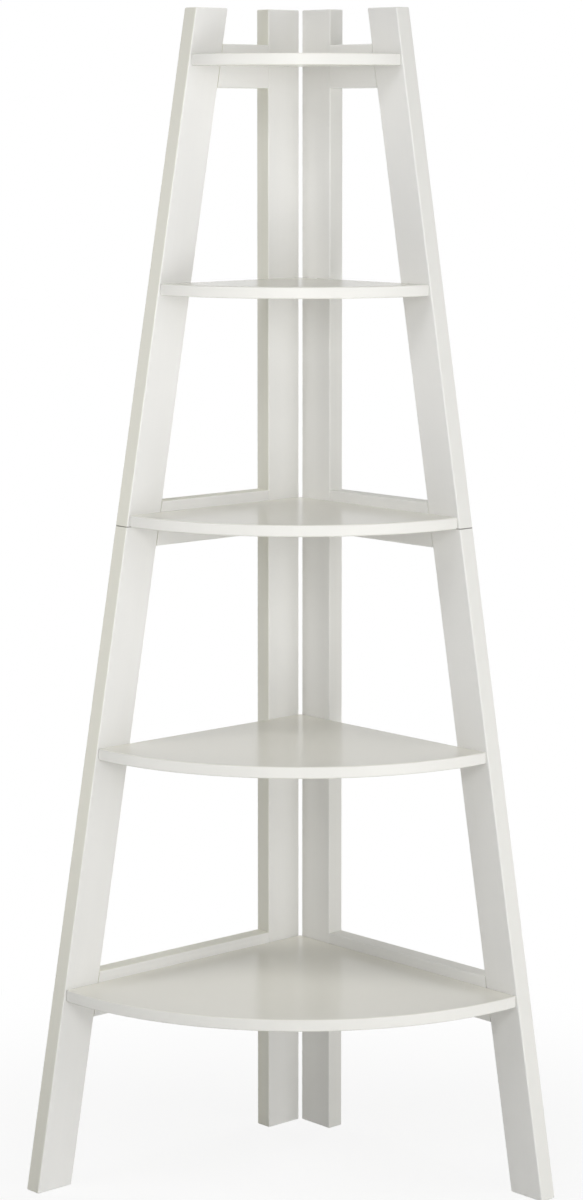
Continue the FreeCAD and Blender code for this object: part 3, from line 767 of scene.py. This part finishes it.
def shelf_slab(tree, size, outline):
    """Rings of faces from the middle of the top, over the rolled edge, to the middle of the underside."""
    rim = put(tree, "GeometryNodeCurveToPoints", {"Curve": outline}, mode="EVALUATED")
    feeds = {"Geometry": rim.outputs["Points"]}
    rim_size = put(tree, "GeometryNodeAttributeDomainSize", feeds, component="POINTCLOUD")
    count = rim_size.outputs["Point Count"]
    feeds = {"Vertices X": sums(tree, "ADD", count, 1.0), "Vertices Y": RINGS}
    sheet = put(tree, "GeometryNodeMeshGrid", feeds)

    number = put(tree, "GeometryNodeInputIndex").outputs[0]
    row = sums(tree, "DIVIDE", sums(tree, "ADD", number, QUARTER_STEP), RINGS)
    row = sums(tree, "FLOOR", row)
    ring = sums(tree, "MULTIPLY_ADD", row, -RINGS, number)
    station = sums(tree, "MODULO", sums(tree, "ADD", row, QUARTER_STEP), count)
    station = sums(tree, "FLOOR", station)
    below = sums(tree, "GREATER_THAN", ring, HALF_RINGS - HALF_STEP)
    mirrored = sums(tree, "SUBTRACT", RINGS - 1, ring)
    step = sums(tree, "MINIMUM", ring, mirrored)
    side = sums(tree, "MULTIPLY_ADD", below, -2.0, 1.0)

    rim_place = rim_value(tree, rim, put(tree, "GeometryNodeInputPosition").outputs[0], station)
    rim_way = rim_value(tree, rim, rim.outputs["Tangent"], station)
    inward = vectors(tree, "CROSS_PRODUCT", spot(tree, z=1.0), rim_way)

    roll = size["Edge Round"]
    middle = halved(tree, size["Thickness"])
    rolled = span(tree, step, ROLL_START, ROLL_END)
    turn = sums(tree, "MULTIPLY", sums(tree, "SUBTRACT", 1.0, rolled), QUARTER)
    drawn_in = sums(tree, "MULTIPLY", roll, sums(tree, "SUBTRACT", 1.0, sums(tree, "COSINE", turn)))
    sunk = sums(tree, "SUBTRACT", sums(tree, "SINE", turn), 1.0)
    off_middle = sums(tree, "MULTIPLY_ADD", sunk, roll, middle)
    past_roll = span(tree, step, ROLL_END, ROLL_END + 1)
    off_middle = sums(tree, "MULTIPLY_ADD", past_roll, -UPRIGHT_SUPPORT, off_middle)
    height = sums(tree, "MULTIPLY_ADD", off_middle, side, middle)

    pole_out = sums(tree, "MULTIPLY", size["Reach"], POLE_SHARE)
    pole = spot(tree, pole_out, negated(tree, pole_out))
    rim_drawn = vectors(tree, "ADD", rim_place, scaled(tree, inward, drawn_in))
    outward = sums(tree, "MULTIPLY", span(tree, step, 0.0, FLAT_RINGS), 1.0 - FLAT_SUPPORT_SHARE)
    last_flat = span(tree, step, FLAT_RINGS, ROLL_START)
    outward = sums(tree, "MULTIPLY_ADD", last_flat, FLAT_SUPPORT_SHARE, outward)
    level = put(tree, "ShaderNodeMix", {0: outward, 4: pole, 5: rim_drawn}, data_type="VECTOR")
    place = vectors(tree, "ADD", level.outputs[1], spot(tree, z=height))
    shaped = put(tree, "GeometryNodeSetPosition", {"Geometry": sheet.outputs["Mesh"], "Position": place})
    closed = put(tree, "GeometryNodeMergeByDistance", {"Geometry": shaped.outputs[0], "Distance": WELD})
    return put(tree, "GeometryNodeFlipFaces", {"Mesh": closed.outputs[0]}).outputs[0]


def shelf_drills(tree, size, along_edge):
    """Round cutters for two bolts and their nuts, at one distance along both straight edges."""
    middle = halved(tree, size["Thickness"])
    back = negated(tree, along_edge)
    inset = size["Nut Inset"]
    nut = rod(tree, HEAD_SIDES, halved(tree, size["Nut Bore"]), doubled(tree, size["Nut Depth"]))
    bolt = rod(tree, SHANK_SIDES, halved(tree, size["Bolt Bore"]), doubled(tree, size["Bolt Depth"]))
    return (
        moved(tree, nut, spot(tree, along_edge, negated(tree, inset))),
        moved(tree, nut, spot(tree, inset, back)),
        moved(tree, bolt, spot(tree, along_edge, 0.0, middle), TURN_X),
        moved(tree, bolt, spot(tree, 0.0, back, middle), TURN_Y),
    )


def quarter_round_shelf_tree():
    """Shelf whose straight edges lie on the frames, drilled for its bolts and barrel nuts."""
    tree, start, end = sized_tree("quarter_round_shelf", SHELF_SIZES, [("Rear Corner", VECTOR, None)])
    size = start.outputs
    slab = shelf_slab(tree, size, shelf_outline(tree, size))
    rear_drills = shelf_drills(tree, size, size["Rear Bolt"])
    front_drills = shelf_drills(tree, size, size["Front Bolt"])
    drilled = cut(tree, slab, *rear_drills, *front_drills)
    close_tree(tree, start, end, moved(tree, drilled, size["Rear Corner"]))
    return tree


def make_shelves():
    tree = quarter_round_shelf_tree()
    for level, (node_name, top) in enumerate(zip(SHELF_NODES, SHELF_TOPS)):
        rear_bolt, front_bolt = bolt_places(level)
        values = {
            **SHELF_SIZES,
            "Reach": leg_front(top) - BOARD_THICKNESS - SHELF_SETBACK,
            "Rear Bolt": rear_bolt - BOARD_THICKNESS,
            "Front Bolt": front_bolt - BOARD_THICKNESS,
            "Rear Corner": ROOM_CORNER + Vector((BOARD_THICKNESS, -BOARD_THICKNESS, top - SHELF_THICKNESS)),
            "Finish": SHELF_FINISH,
        }
        board = grown(node_name + "_board", bpy.data.meshes.new(node_name), tree, values)
        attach(board, "root")
        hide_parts(node_name)


make_shelves()


# Floor, background, light and camera

WHITE = (1.0, 1.0, 1.0, 1.0)
FLOOR_GREY = (0.86, 0.86, 0.85, 1.0)
FLOOR_RADIUS = 9.0
FLOOR_SIDES = 96
FLOOR_DROP = 0.0004
# Share of plain white that the floor shows within the shadow radius; past the white
# radius it shows white alone.
WHITE_NEAR_FEET = 0.86
SHADOW_RADIUS = 0.30
WHITE_RADIUS = 1.1
ROOM_LIGHT = 0.06


def white_to_view(tree):
    """1 where a ray comes straight from the camera, off gloss or through glass, 0 for the light itself."""
    ray = put(tree, "ShaderNodeLightPath").outputs
    seen = sums(tree, "MAXIMUM", ray["Is Camera Ray"], ray["Is Glossy Ray"])
    return sums(tree, "MAXIMUM", seen, ray["Is Transmission Ray"])


def pale_floor_finish():
    """Matt floor that fades into white away from the feet and is clear to a camera below it."""
    finish = bpy.data.materials.new("pale_floor")
    finish.use_nodes = True
    tree = finish.node_tree
    tree.nodes.clear()
    place = put(tree, "ShaderNodeTexCoord").outputs["Object"]
    reach = put(tree, "ShaderNodeVectorMath", {0: place}, operation="LENGTH").outputs["Value"]
    fade = span(tree, reach, SHADOW_RADIUS, WHITE_RADIUS, WHITE_NEAR_FEET, 1.0, "SMOOTHSTEP")
    share = sums(tree, "MULTIPLY", fade, white_to_view(tree))
    matt = put(tree, "ShaderNodeBsdfDiffuse", {"Color": FLOOR_GREY})
    white = put(tree, "ShaderNodeEmission", {"Color": WHITE, "Strength": 1.0})
    mixed = put(tree, "ShaderNodeMixShader", {0: share, 1: matt.outputs[0], 2: white.outputs[0]})
    underside = put(tree, "ShaderNodeNewGeometry").outputs["Backfacing"]
    camera_ray = put(tree, "ShaderNodeLightPath").outputs["Is Camera Ray"]
    from_below = sums(tree, "MULTIPLY", underside, camera_ray)
    clear = put(tree, "ShaderNodeBsdfTransparent")
    seen = put(tree, "ShaderNodeMixShader", {0: from_below, 1: mixed.outputs[0], 2: clear.outputs[0]})
    out = put(tree, "ShaderNodeOutputMaterial")
    tree.links.new(seen.outputs[0], out.inputs["Surface"])
    return finish


def studio_floor():
    """Pale floor that takes the shadow near the feet and runs out into the white background."""
    disc = bmesh.new()
    bmesh.ops.create_circle(disc, cap_ends=True, segments=FLOOR_SIDES, radius=FLOOR_RADIUS)
    mesh = bpy.data.meshes.new("studio_floor")
    disc.to_mesh(mesh)
    disc.free()
    mesh.transform(Matrix.Translation((0.0, 0.0, -FLOOR_DROP)))
    mesh.materials.append(pale_floor_finish())
    floor = bpy.data.objects.new("studio_floor", mesh)
    bpy.context.scene.collection.objects.link(floor)


def studio_world():
    """White to the camera and in gloss, and a faint even light on everything."""
    world = bpy.data.worlds.new("white_studio")
    bpy.context.scene.world = world
    world.use_nodes = True
    tree = world.node_tree
    tree.nodes.clear()
    seen = white_to_view(tree)
    strength = sums(tree, "MULTIPLY_ADD", seen, 1.0 - ROOM_LIGHT, ROOM_LIGHT)
    white = put(tree, "ShaderNodeBackground", {"Color": WHITE, "Strength": strength})
    out = put(tree, "ShaderNodeOutputWorld")
    tree.links.new(white.outputs[0], out.inputs["Surface"])


# Name, bearing from +X in degrees, height, distance, width and power of each softbox.
# All of them face the lit point.
SOFTBOXES = (
    ("front_key", -42.0, 1.5, 1.7, 0.8, 10.6),
    ("low_front_fill", -42.0, 0.3, 1.7, 0.8, 1.2),
    ("low_right_key", -5.0, 0.3, 2.8, 1.4, 26.5),
    ("right_side_key", 20.0, 1.4, 2.4, 1.4, 15.5),
    ("right_floor_bounce", -5.0, 0.1, 1.2, 0.5, 1.8),
    ("high_right_fill", -5.0, 2.1, 1.0, 0.5, 1.8),
    ("high_left_fill", -80.0, 2.1, 1.0, 0.5, 4.4),
    ("high_left_edge_light", -112.0, 1.5, 1.0, 0.5, 2.2),
    ("low_left_edge_light", -112.0, 0.6, 1.0, 0.5, 1.9),
    ("left_wall_light", 165.0, 0.5, 2.8, 1.4, 36.0),
    ("right_wall_light", 105.0, 0.5, 2.8, 1.4, 36.0),
    ("top_light", 135.0, 2.3, 0.36, 0.3, 2.8),
)
LIT_POINT = Vector((-0.05, 0.05, 0.9))


def studio_lights():
    for name, bearing, height, distance, width, power in SOFTBOXES:
        lamp = bpy.data.lights.new(name, "AREA")
        lamp.shape = "SQUARE"
        lamp.size = width
        lamp.energy = power
        softbox = bpy.data.objects.new(name, lamp)
        softbox.visible_camera = False
        turn = math.radians(bearing)
        softbox.location = (distance * math.cos(turn), distance * math.sin(turn), height)
        softbox.rotation_euler = (softbox.location - LIT_POINT).to_track_quat("Z", "Y").to_euler()
        bpy.context.scene.collection.objects.link(softbox)


# Camera fitted to edges measured in the photo. Picture height, focal length and centre
# line, the row on the lens axis, are in pixels of the photo. Aside and back are counted
# from the room corner.
PICTURE_HEIGHT = 1200.0
FOCAL_PIXELS = 3153.0205
CENTRE_LINE = 350.0
CAMERA_ASIDE = 0.0145292
CAMERA_BACK = 4.5172022
CAMERA_HEIGHT = 1.448205
CAMERA_HEADING = math.radians(47.7173)
CAMERA_DIP = math.radians(4.2096)
FILM_SIDE = 36.0


def studio_camera():
    lens = bpy.data.cameras.new("photo_view")
    lens.sensor_fit = "AUTO"
    lens.sensor_width = FILM_SIDE
    lens.lens = FILM_SIDE * FOCAL_PIXELS / PICTURE_HEIGHT
    lens.shift_y = (CENTRE_LINE - PICTURE_HEIGHT / 2) / PICTURE_HEIGHT
    right = Vector((math.cos(CAMERA_HEADING), math.sin(CAMERA_HEADING), 0.0))
    ahead = Vector((-math.sin(CAMERA_HEADING), math.cos(CAMERA_HEADING), 0.0))
    camera = bpy.data.objects.new("photo_view", lens)
    camera.location = ROOM_CORNER - CAMERA_ASIDE * right - CAMERA_BACK * ahead
    camera.location.z = CAMERA_HEIGHT
    camera.rotation_euler = (QUARTER - CAMERA_DIP, 0.0, CAMERA_HEADING)
    bpy.context.scene.collection.objects.link(camera)
    bpy.context.scene.camera = camera


studio_floor()
studio_world()
studio_lights()
studio_camera()
bpy.context.scene.view_settings.view_transform = "Standard"
